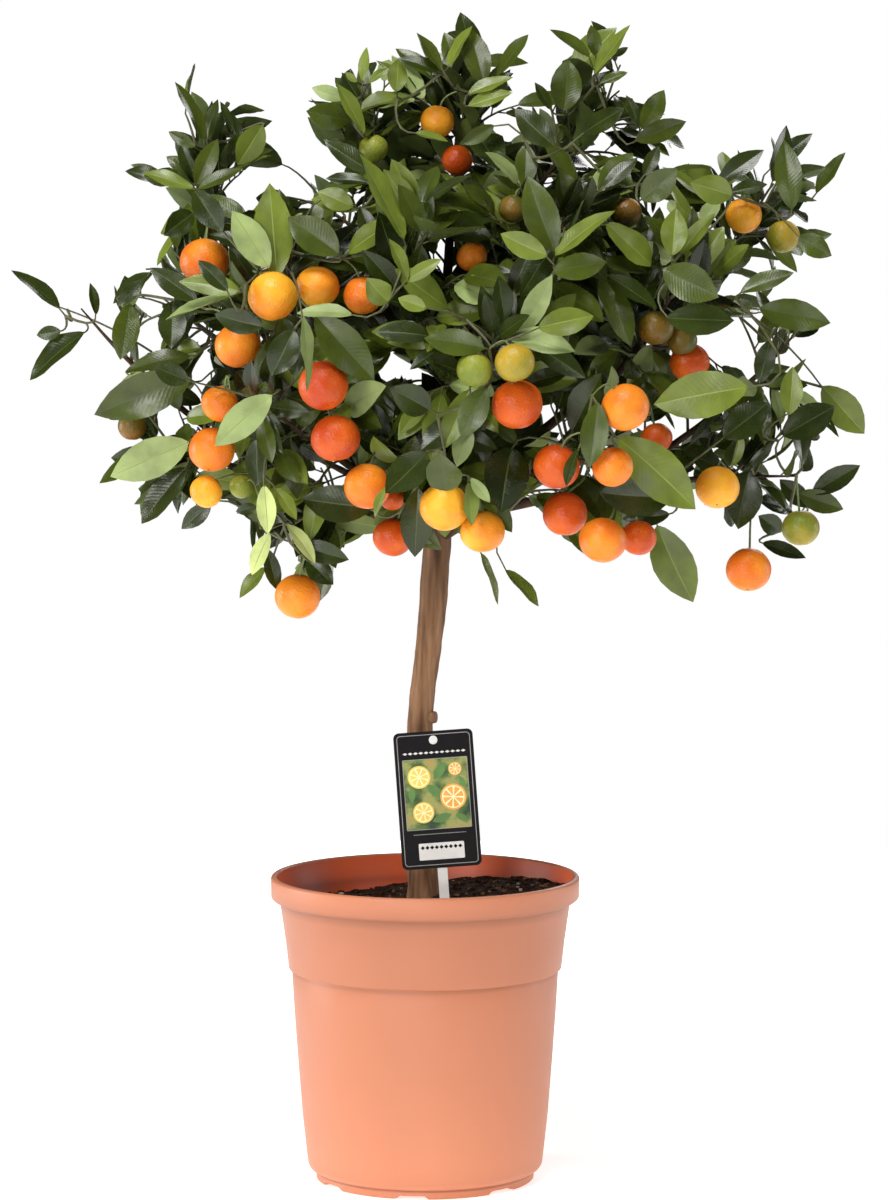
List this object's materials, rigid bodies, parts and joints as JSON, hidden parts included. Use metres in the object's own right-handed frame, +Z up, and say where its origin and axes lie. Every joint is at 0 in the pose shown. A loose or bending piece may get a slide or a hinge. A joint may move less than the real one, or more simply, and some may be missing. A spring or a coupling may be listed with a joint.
{
  "type": "calamondin orange tree in a pot",
  "caption": "Small orange tree with a slim trunk and a round open crown of leaves and fruit, in a tapered round nursery pot with a blank plant label.",
  "frame": {"origin": "middle of the pot's flat underside, on the ground", "axes": "+Z up, +X to the right of the side that faces the picture, +Y away from it"},
  "size_m": [0.6081, 0.4549, 0.8374],
  "materials": {
    "pot": "satin",
    "soil": "rough",
    "bark": "rough",
    "foliage": "satin",
    "label_card": "satin",
    "label_stick": "gloss"
  },
  "bodies": {
    "root": {"pot": "pot", "soil": "soil", "trunk": "bark", "label_card": "label_card", "label_stick": "label_stick", "bough_top_centre": "bark", "foliage_top_centre": "foliage", "bough_top_left": "bark", "foliage_top_left": "foliage", "bough_top_right": "bark", "foliage_top_right": "foliage", "bough_left_spire": "bark", "foliage_left_spire": "foliage", "bough_left_upper": "bark", "foliage_left_upper": "foliage", "bough_left_sprig": "bark", "foliage_left_sprig": "foliage", "bough_left_front": "bark", "foliage_left_front": "foliage", "bough_left_low": "bark", "foliage_left_low": "foliage", "bough_left_low_front": "bark", "foliage_left_low_front": "foliage", "bough_left_hanging": "bark", "foliage_left_hanging": "foliage", "bough_front_left": "bark", "foliage_front_left": "foliage", "bough_front": "bark", "foliage_front": "foliage", "bough_front_low": "bark", "foliage_front_low": "foliage", "bough_front_right": "bark", "foliage_front_right": "foliage", "bough_right_front": "bark", "foliage_right_front": "foliage", "bough_right_low_front": "bark", "foliage_right_low_front": "foliage", "bough_right_upper": "bark", "foliage_right_upper": "foliage", "bough_right_sprig": "bark", "foliage_right_sprig": "foliage", "bough_right_low": "bark", "foliage_right_low": "foliage", "bough_back_left_low": "bark", "foliage_back_left_low": "foliage", "bough_back_left": "bark", "foliage_back_left": "foliage", "bough_back_left_high": "bark", "foliage_back_left_high": "foliage", "bough_back": "bark", "foliage_back": "foliage", "bough_back_right_low": "bark", "foliage_back_right_low": "foliage", "bough_back_right": "bark", "foliage_back_right": "foliage", "bough_back_right_high": "bark", "foliage_back_right_high": "foliage"}
  },
  "joints": []
}
